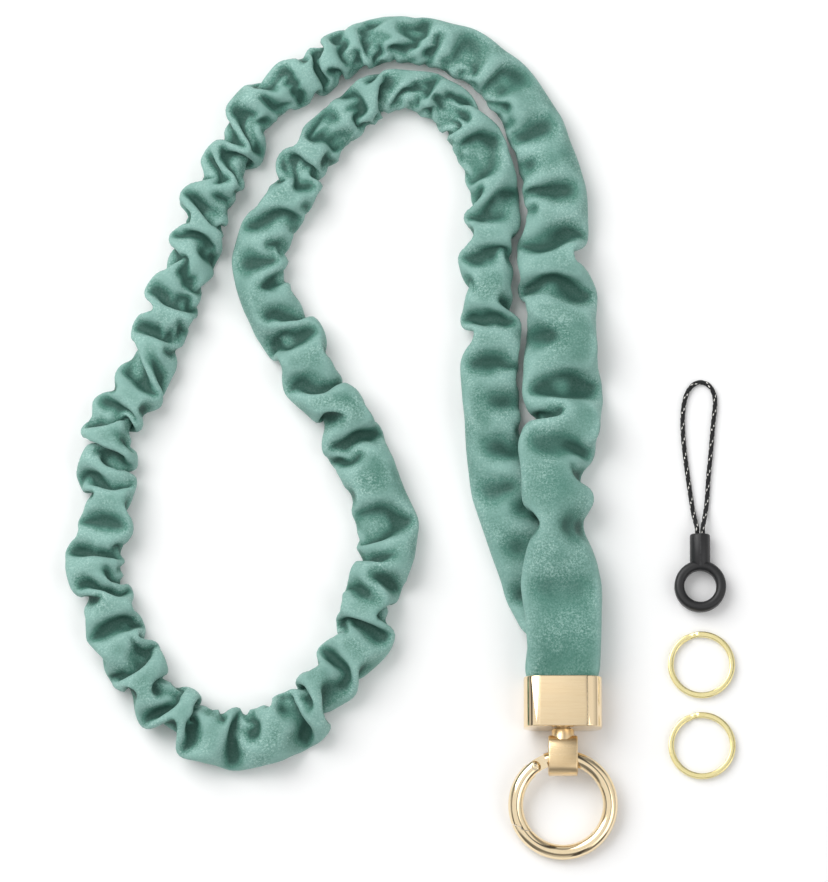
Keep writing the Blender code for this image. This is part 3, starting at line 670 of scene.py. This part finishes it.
def wander(places, pace, rng, reach=1.0):
    # a slow random line
    knots = rng.uniform(-reach, reach, int(places[-1] / pace) + 5)
    cell = places / pace
    low = cell.astype(int)
    share = cell - low
    share = share * share * (3 - 2 * share)
    return knots[low] * (1 - share) + knots[low + 1] * share


def sleeveShapes():
    # the tube as it is cut, and the rough shape that it crumples from, both in mm
    s = sleeve
    fine, along = strapLine()
    total = along[-1]
    table = np.array(s["cut"])
    dense = np.linspace(0, total, 4000)
    ratio = np.interp(dense, table[:, 0], table[:, 1])
    length = np.concatenate([[0], np.cumsum((ratio[1:] + ratio[:-1]) / 2 * np.diff(dense))])
    rings = round(length[-1] / s["step"]) + 1
    cutPlace = np.linspace(0, length[-1], rings)
    placeOn = np.interp(cutPlace, length, dense)
    gather = np.interp(placeOn, table[:, 0], table[:, 1])
    girth = np.interp(placeOn, table[:, 0], table[:, 2])
    rows = resample(fine, along, placeOn)
    route = resample(fine, along, dense)[:, :2]
    heading = np.gradient(route, axis=0)
    heading /= np.linalg.norm(heading, axis=1)[:, None]
    heading = resample(heading, dense, placeOn)
    heading /= np.linalg.norm(heading, axis=1)[:, None]
    side = np.stack([heading[:, 1], -heading[:, 0], 0 * heading[:, 0]], 1)
    fromEnd = np.minimum(placeOn, total - placeOn)
    share = np.clip((fromEnd - s["held"]) / s["ease"], 0, 1)
    depth = s["endDepth"] + (s["depth"] - s["endDepth"]) * share * share * (3 - 2 * share)

    rng = np.random.default_rng(s["seed"])
    turn = 2 * np.pi * np.arange(s["around"]) / s["around"]
    wave = s["lobe"] * (1 + wander(placeOn, 18, rng, 0.3))
    phase = np.concatenate([[0], np.cumsum(np.diff(placeOn) / ((wave[1:] + wave[:-1]) / 2) * 2 * np.pi)])
    lean = wander(placeOn, 33, rng, 2.4)[:, None] * np.sin(turn[None] + wander(placeOn, 50, rng, 3)[:, None])
    skew = 0.7 * np.sin(2 * turn[None] + wander(placeOn, 21, rng, 4)[:, None])
    puff = np.abs(np.sin((phase[:, None] + lean + skew) / 2)) ** 0.8
    swell = np.clip((gather - 1) * 0.4, 0, 0.3)[:, None] * (1.5 * puff - 0.95)
    swell += 0.02 * rng.uniform(-1, 1, puff.shape)
    swell *= np.clip((fromEnd - s["held"]) / 10, 0, 1)[:, None]
    u, v = np.cos(turn), np.sin(turn)
    reach = (np.abs(u) ** 2.3 + np.abs(v) ** 2.3) ** (-1 / 2.3)
    rough = rows[:, None, :3] + side[:, None] * ((u * reach)[None] * rows[:, 3:4] / 2 * (1 + swell))[..., None]
    rough[..., 2] += (v * reach)[None] * depth[:, None] / 2 * (1 + swell)
    rough[..., 2] = np.maximum(rough[..., 2], s["floor"] + 0.3)
    radius = girth[:, None] / 2 / np.pi
    flat = np.stack([cutPlace[:, None] + 0 * radius * u, radius * u[None], radius * v[None]], 2)
    held = np.nonzero(np.repeat(fromEnd < s["held"], s["around"]))[0].tolist()
    return rough.reshape(-1, 3), flat.reshape(-1, 3), rings, cutPlace, girth, held


def crumple(rough, flat, rings, held):
    # Blender's cloth, run twenty times larger, round a stand-in for the strap and on a floor
    s = sleeve
    size = s["scale"] * mm
    tube = linkMesh("crumplingTube", rough * size, tubeFaces(rings, s["around"]))
    tube.shape_key_add(name="Basis")
    cut = tube.shape_key_add(name="cut")
    cut.data.foreach_set("co", (flat * size).ravel())
    tube.vertex_groups.new(name="held").add(held, 1.0, "REPLACE")

    fine, along = strapLine()
    stations = resample(fine, along, np.linspace(0, along[-1], 300))
    heading = np.gradient(stations[:, :2], axis=0)
    heading /= np.linalg.norm(heading, axis=1)[:, None]
    side = np.stack([heading[:, 1], -heading[:, 0], 0 * heading[:, 0]], 1)
    turn = 2 * np.pi * np.arange(12) / 12
    band = stations[:, None, :3] + side[:, None] * (np.cos(turn) * s["core"][0] / 2)[None, :, None]
    band[..., 2] += np.sin(turn)[None] * s["core"][1] / 2
    core = linkMesh("strapStandIn", band.reshape(-1, 3) * size, tubeFaces(300, 12))
    recalculate(core)
    bpy.ops.mesh.primitive_plane_add(size=400 * size, location=(0, 0, (s["floor"] - 0.5) * size))
    ground = named("groundStandIn")
    for body in (core, ground):
        body.modifiers.new("collision", "COLLISION")
        body.collision.thickness_outer = s["skin"] * size
        body.collision.thickness_inner = 0.1
        body.collision.cloth_friction = s["friction"]
        body.collision.damping = 0.5

    # the cut shape is only read when a modifier that changes topology comes before the cloth
    tube.modifiers.new("weld", "WELD").merge_threshold = 1e-7
    mod = tube.modifiers.new("cloth", "CLOTH")
    fabric = mod.settings
    for key, value in s["fabric"].items():
        setattr(fabric, key, value)
    fabric.vertex_group_mass = "held"
    fabric.rest_shape_key = cut
    mod.collision_settings.distance_min = s["touching"] * size
    mod.collision_settings.collision_quality = 3
    mod.collision_settings.use_self_collision = True
    mod.collision_settings.self_distance_min = s["selfTouching"] * size
    mod.collision_settings.self_friction = s["selfFriction"]
    mod.point_cache.frame_start, mod.point_cache.frame_end = 1, s["frames"]
    for number in range(1, s["frames"] + 1):
        bpy.context.scene.frame_set(number)
    shaped = tube.evaluated_get(bpy.context.evaluated_depsgraph_get())
    mesh = shaped.to_mesh()
    settled = np.empty(len(mesh.vertices) * 3)
    mesh.vertices.foreach_get("co", settled)
    shaped.to_mesh_clear()
    for obj in (tube, core, ground):
        bpy.data.objects.remove(obj)
    bpy.context.scene.frame_set(1)
    return settled.reshape(-1, 3) / size


def makeSleeve():
    s = sleeve
    rough, flat, rings, cutPlace, girth, held = sleeveShapes()
    settled = crumple(rough, flat, rings, held)
    settled[:, 2] = np.maximum(settled[:, 2], 0.1)
    around = s["around"]
    tube = linkMesh("gathered_sleeve", settled * mm, tubeFaces(rings, around))
    mesh = tube.data
    # the cloth's own coordinates, in metres, from one edge of the cut to the other
    layer = mesh.uv_layers.new(name="cut")
    across = np.arange(around + 1) / around
    columns = [(j, j + 1, j + 1, j) for j in range(around)]
    uv = [(across[c] * girth[i + d] * mm, cutPlace[i + d] * mm) for i in range(rings - 1) for j in range(around)
          for c, d in zip(columns[j], (0, 0, 1, 1))]
    layer.data.foreach_set("uv", np.array(uv).ravel())
    seam = mesh.attributes.new("seam", "FLOAT", "POINT").data
    for i in range(rings):
        seam[i * around + s["seamColumn"]].value = 1.0
    recalculate(tube)
    applied(tube, "SUBSURF", levels=1, render_levels=1)
    crispen(tube)
    markFolds(tube)
    applied(tube, "SOLIDIFY", thickness=s["wall"] * mm, offset=-1, use_even_offset=False)
    for polygon in mesh.polygons:
        polygon.use_smooth = True
    finish(tube, "strap", "gathered_cloth", cloth, "fabric_sleeve")
    print("sleeve", rings, "rings, cut length", round(cutPlace[-1]), "mm")


def spread(edges, values, rounds):
    # each round moves every value halfway to the mean of its neighbours
    number = np.bincount(edges.ravel(), minlength=len(values)).reshape(-1, 1)
    for _ in range(rounds):
        total = np.zeros_like(values)
        np.add.at(total, edges[:, 0], values[edges[:, 1]])
        np.add.at(total, edges[:, 1], values[edges[:, 0]])
        values = (values + total / number) / 2
    return values


def meshArrays(mesh):
    spots = np.empty(len(mesh.vertices) * 3)
    mesh.vertices.foreach_get("co", spots)
    ends = np.empty(len(mesh.edges) * 2, int)
    mesh.edges.foreach_get("vertices", ends)
    return spots.reshape(-1, 3), ends.reshape(-1, 2)


def crispen(tube):
    # deeper creases and fuller lobes, except near the cap, and high crests lying lower
    spots, edges = meshArrays(tube.data)
    toCap = np.hypot(spots[:, 0] - sleeve["cap"]["x"] * mm, spots[:, 1] - sleeve["cap"]["end"] * mm)
    share = np.clip((toCap / mm - 14) / 20, 0, 1)[:, None] * sleeve["crisp"]
    spots = spots + (spots - spread(edges, spots, 10)) * share
    high = sleeve["crest"] * mm
    spots[:, 2] = np.where(spots[:, 2] > high, high + (spots[:, 2] - high) * sleeve["flatten"], spots[:, 2])
    spots[:, 2] = np.maximum(spots[:, 2], 0.05 * mm)
    tube.data.vertices.foreach_set("co", spots.ravel())
    tube.data.update()


def markFolds(tube):
    # how deep in a fold each point lies, from where its neighbours are: 0 in a crease, 1 on a crest; the cloth's
    # colour uses it for painted shade in creases and painted highlight on crests
    mesh = tube.data
    spots, edges = meshArrays(mesh)
    normals = np.empty(len(spots) * 3)
    mesh.vertices.foreach_get("normal", normals)
    hollow = ((spread(edges, spots, 4) - spots) * normals.reshape(-1, 3)).sum(1, keepdims=True) / mm
    value = np.clip(0.5 - spread(edges, hollow, 2) * 2.2, 0, 1)
    mesh.attributes.new("fold", "FLOAT", "POINT").data.foreach_set("value", value.ravel())


makeSleeve()


# End cap: a drawn shell with a hole for the swivel's stem
endCap = {"corner": 5.2 * mm, "wall": 0.9 * mm, "floor": 1.6 * mm, "edge": 0.32 * mm, "stemHole": 2.3 * mm}
alongX = Matrix.Rotation(math.radians(90), 4, "Y")
alongY = Matrix.Rotation(math.radians(-90), 4, "X")


def makeCap():
    low, high = (Vector(corner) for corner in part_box("end_cap"))
    size = high - low
    bpy.ops.object.select_all(action="DESELECT")
    bpy.ops.mesh.primitive_cube_add(size=1, location=(low + high) / 2, scale=size)
    cap = named("cap_shell")
    applyPlace(cap)
    pick(cap, "EDGE", lambda edge: abs((edge.verts[0].co - edge.verts[1].co).y) > 1 * mm)
    bpy.ops.mesh.bevel(offset=endCap["corner"], segments=16)
    outOfEdit()
    pick(cap, "FACE", lambda face: face.normal.y > 0.9)
    bpy.ops.mesh.inset(thickness=endCap["wall"])
    bpy.ops.mesh.extrude_region_move(TRANSFORM_OT_translate={"value": (0, endCap["floor"] - size.y, 0)})
    outOfEdit()
    recalculate(cap)
    hole = turned("stemHole", [(-4 * mm, endCap["stemHole"]), (4 * mm, endCap["stemHole"])], 48)
    place(hole, Matrix.Translation(((low.x + high.x) / 2, low.y, (low.z + high.z) / 2)) @ alongY)
    boolean(cap, hole)
    softEdges(cap, endCap["edge"], 4, 40)
    smooth(cap)
    finish(cap, "strap", "cap_gold", capGold, "end_cap")


# Swivel: eye block, collar, stem and riveted head in one piece
swivel = {
    "place": Vector((47.4, -97.05, 6.5)) * mm, "width": 8.7, "height": 12.0, "depth": 7.8, "drop": 0.55,
    "square": 2.9, "edge": 0.45, "bore": 2.55,
    # height above the bore and radius, in mm, up through the cap's floor
    "stem": [
        (5.05, 3.35), (8.05, 3.35), (8.33, 3.23), (8.45, 2.95), (8.45, 2.0),
        (11.45, 2.0), (11.45, 4.0), (12.17, 4.0), (12.65, 2.4),
    ],
}
wire = {"radius": 2.25 * mm, "ring": 14.1 * mm, "tilt": math.asin((6.5 - 2.25) / 28.2)}


def makeEye():
    s = swivel
    outline = []
    for angle in np.radians(np.arange(0, 360, 5)):
        u, v = math.cos(angle), math.sin(angle)
        reach = (abs(u) ** s["square"] + abs(v) ** s["square"]) ** (-1 / s["square"])
        outline.append((s["depth"] / 2 * u * reach * mm, (s["height"] / 2 * v * reach + s["drop"]) * mm))
    eye = prism("swivel_block", outline, -s["width"] / 2 * mm, s["width"] / 2 * mm)
    place(eye, Matrix.Translation(s["place"]) @ alongX)
    softEdges(eye, s["edge"] * mm, 4, 60)
    # the bore widens outwards, as the curved wire needs
    reach = s["width"] / 2 + 1
    profile = []
    for x in np.linspace(-reach, reach, 25):
        profile.append((x * mm, (s["bore"] + 14.1 - math.sqrt(14.1**2 - x**2)) * mm))
    bore = turned("bore", profile, 64)
    place(bore, Matrix.Translation(s["place"]) @ alongX)
    stem = turned("stem", [(h * mm, r * mm) for h, r in s["stem"]], 64)
    place(stem, Matrix.Translation(s["place"]) @ alongY)
    boolean(eye, stem, "UNION")
    boolean(eye, bore)
    smooth(eye, 28)
    finish(eye, "swivel", "eye_gold", eyeGold, "swivel_eye")


# Ring clasp: C-shaped body, gate on a pin. All seen from the bore, in the ring's plane
clasp = {
    "pin": 127.0, "shoulder": 111.0, "tip": 209.0, "step": 0.75 * mm, "tang": 1.9 * mm, "gap": 0.3 * mm,
    "pinRadius": 0.7 * mm, "play": 0.08 * mm, "edge": 0.1 * mm, "bore": 1.0 * mm, "boreDepth": 4.3 * mm,
    "latchGap": 0.2 * mm, "pinLine": 0.28 * mm,
}
ringCentre = Vector((0, -wire["ring"], 0))
pinPlace = ringCentre + polar(wire["ring"], clasp["pin"])
tipAim = ringCentre + polar(wire["ring"], clasp["tip"]) - pinPlace
inRing = Matrix.Translation(swivel["place"]) @ Matrix.Rotation(wire["tilt"], 4, "X")


def wedge(name, first, last):
    outline = [ringCentre] + [ringCentre + polar(30 * mm, angle) for angle in np.linspace(first, last, 12)]
    return prism(name, [point[:2] for point in outline], -5 * mm, 5 * mm)


def aboutPin(name, inner, outer):
    # a slab of a round band about the pin, over the latch
    aim = math.degrees(math.atan2(tipAim.y, tipAim.x))
    turns = np.linspace(aim - 22, aim + 22, 45)
    outline = [pinPlace + polar(outer, turn) for turn in turns]
    outline += [pinPlace + polar(inner, turn) for turn in turns[::-1]]
    return prism(name, [point[:2] for point in outline], -4 * mm, 4 * mm)


def rod(name, radius, centre, reach, sides=64):
    made = turned(name, [(-reach, radius), (reach, radius)], sides)
    place(made, Matrix.Translation(centre))
    return made


def wholeRing(name):
    bpy.ops.object.select_all(action="DESELECT")
    bpy.ops.mesh.primitive_torus_add(location=ringCentre, major_segments=168, minor_segments=36,
                                     major_radius=wire["ring"], minor_radius=wire["radius"])
    ring = named(name)
    applyPlace(ring)
    return ring


def makeClaspRing():
    c = clasp
    ring = wholeRing("ring_body")
    boolean(ring, wedge("gateRoom", c["shoulder"], c["tip"] - 10))
    half = wire["radius"] - c["gap"]
    sweep = np.linspace(c["shoulder"] - 6, c["pin"], 9)
    outer = [polar(wire["ring"] + half, angle) for angle in sweep]
    nose = [polar(wire["ring"], c["pin"]) + polar(half, c["pin"] + angle) for angle in np.linspace(0, 180, 25)[1:-1]]
    inner = [polar(wire["ring"] - half, angle) for angle in sweep[::-1]]
    outline = [(ringCentre + point)[:2] for point in outer + nose + inner]
    boolean(ring, prism("tang", outline, -c["tang"] / 2, c["tang"] / 2), "UNION")
    boolean(ring, rod("tangHole", c["pinRadius"] + c["play"], pinPlace, 4 * mm, 32))
    near = tipAim.length - c["step"] / 2 + c["latchGap"]
    boolean(ring, aboutPin("lipCut", 10 * mm, near))
    seat = aboutPin("seatCut", 10 * mm, near + c["step"])
    boolean(seat, rod("seatLimit", wire["ring"] + c["gap"], ringCentre, 5 * mm, 128), "INTERSECT")
    boolean(ring, seat)
    softEdges(ring, c["edge"], 3, 40)
    smooth(ring)
    place(ring, inRing)
    finish(ring, "clasp", "ring_gold", ringGold, "clasp_ring")


def makeClaspGate():
    c = clasp
    gate = wholeRing("gate_arm")
    boolean(gate, wedge("gateArc", c["pin"], c["tip"] + 10), "INTERSECT")
    bpy.ops.object.select_all(action="DESELECT")
    bpy.ops.mesh.primitive_uv_sphere_add(segments=48, ring_count=32, radius=wire["radius"] * 0.999, location=pinPlace)
    nose = named("nose")
    applyPlace(nose)
    boolean(gate, nose, "UNION")
    slotRadius = wire["radius"] + c["gap"]
    boolean(gate, rod("slot", slotRadius, pinPlace, c["tang"] / 2 + c["gap"]))
    boolean(gate, rod("cheekHole", c["pinRadius"] + c["pinLine"], pinPlace, 4 * mm, 32))
    far = tipAim.length - c["step"] / 2
    boolean(gate, aboutPin("tipCut", far + c["step"], 30 * mm))
    notch = aboutPin("tipNotch", far, 30 * mm)
    boolean(notch, rod("notchLimit", wire["ring"], ringCentre, 5 * mm, 128))
    boolean(gate, notch)
    end = slotRadius + c["boreDepth"]
    chord = math.radians(c["pin"] + 90) + math.asin(end / 2 / wire["ring"])
    bore = turned("springBore", [(slotRadius - 1.2 * mm, c["bore"]), (end, c["bore"])], 32)
    place(bore, Matrix.Translation(pinPlace) @ Matrix.Rotation(chord, 4, "Z") @ alongX)
    boolean(gate, bore)
    softEdges(gate, c["edge"], 3, 40)
    smooth(gate)
    place(gate, inRing)
    finish(gate, "gate", "ring_gold", ringGold, "clasp_gate")


def makeGatePin():
    radius = clasp["pinRadius"]
    top = math.sqrt(wire["radius"] ** 2 - radius**2)
    dome = [(top - 0.2 * mm, 1.0), (top - 0.08 * mm, 0.96), (top - 0.02 * mm, 0.84), (top, 0.6)]
    profile = [(-h, share * radius) for h, share in dome[::-1]] + [(h, share * radius) for h, share in dome]
    pin = turned("hinge_pin", profile, 40)
    smooth(pin, 50)
    place(pin, inRing @ Matrix.Translation(pinPlace))
    finish(pin, "gate", "ring_gold", ringGold, "gate_pin")


# Tether: moulded ring and barrel
tether = {
    "place": Vector((88.8, -44.9, 3.05)) * mm, "outer": 7.75 * mm, "hole": 4.8 * mm, "thickness": 4.6 * mm,
    "round": 1.3 * mm,
    # height above the ring's middle and radius, in mm
    "barrel": [(5.6, 2.1), (7.15, 3.05), (15.2, 3.05), (15.5, 2.97), (15.72, 2.75), (15.8, 2.45)],
    "inside": [(17.0, 1.9), (12.6, 1.9), (12.6, 2.51), (7.4, 2.51)],
}


def makeTetherRing():
    t = tether
    bpy.ops.object.select_all(action="DESELECT")
    bpy.ops.mesh.primitive_cylinder_add(vertices=96, radius=t["outer"], depth=t["thickness"], location=(0, 0, 0))
    ring = named("tether_body")
    applyPlace(ring)
    boolean(ring, rod("fingerHole", t["hole"], Vector(), 5 * mm, 96))
    softEdges(ring, t["round"], 6, 60)
    barrel = turned("barrel", [(h * mm, r * mm) for h, r in t["barrel"]], 48)
    place(barrel, alongY)
    boolean(ring, barrel, "UNION")
    inside = turned("cordRoom", [(h * mm, r * mm) for h, r in t["inside"][::-1]], 48)
    place(inside, alongY)
    boolean(ring, inside)
    smooth(ring, 40)
    place(ring, Matrix.Translation(t["place"]))
    finish(ring, "tether", "black_moulding", blackMoulding, "tether_ring")


# Split rings: two turns of flat wire that change level beside their ends
splitRing = {"middle": 9.2 * mm, "width": 1.7 * mm, "height": 0.85 * mm, "corner": 0.4 * mm, "play": 0.12 * mm,
             "start": 95.0, "climb": 15.0, "end": 700.0, "step": 3.0}


def makeSplitRing(name, node, body):
    s = splitRing
    low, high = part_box(node)
    centre = Vector(((low[0] + high[0]) / 2, (low[1] + high[1]) / 2, 0))
    bpy.ops.object.select_all(action="DESELECT")
    bpy.ops.mesh.primitive_plane_add(size=1, location=(s["middle"], 0, s["height"] / 2),
                                     rotation=(math.radians(90), 0, 0))
    bpy.ops.transform.resize(value=(s["width"], 1, s["height"]))
    ring = named(name)
    applyPlace(ring)
    pick(ring, "VERT", lambda vert: True)
    bpy.ops.mesh.bevel(offset=s["corner"], segments=4, affect="VERTICES")
    bpy.ops.mesh.select_all(action="SELECT")

    def sweep(degrees, steps, rise=0.0):
        bpy.ops.mesh.spin(steps=steps, angle=math.radians(degrees), center=(0, 0, 0), axis=(0, 0, 1))
        if rise:
            bpy.ops.transform.translate(value=(0, 0, rise))

    flatTurn = 360 - s["climb"]
    sweep(flatTurn, round(flatTurn / s["step"]))
    parts = 6
    level = 0.0
    for i in range(1, parts + 1):
        share = i / parts
        height = (s["height"] + s["play"]) * share * share * (3 - 2 * share)
        sweep(s["climb"] / parts, 1, height - level)
        level = height
    rest = s["end"] - 360
    sweep(rest, round(rest / s["step"]))
    outOfEdit()
    recalculate(ring)
    smooth(ring, 35)
    place(ring, Matrix.Translation(centre) @ Matrix.Rotation(math.radians(s["start"]), 4, "Z"))
    finish(ring, body, "yellow_gold", yellowGold, node)


print("fittings")
makeCap()
makeEye()
makeClaspRing()
makeClaspGate()
makeGatePin()
makeTetherRing()
makeSplitRing("key_ring_a", "split_ring_a", "ring_a")
makeSplitRing("key_ring_b", "split_ring_b", "ring_b")


# What stays as the CAD has it, with a finish of its own
for node, material in {
    "core_strap": webbing, "glue_plug": setGlue, "swivel_washer": steel,
    "gate_plunger": steel, "gate_spring": steel, "cord_crimp": crimpBrass,
}.items():
    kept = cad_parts[node]
    for i in range(max(1, len(kept.material_slots))):
        if kept.material_slots:
            kept.material_slots[i].material = material
        else:
            kept.data.materials.append(material)
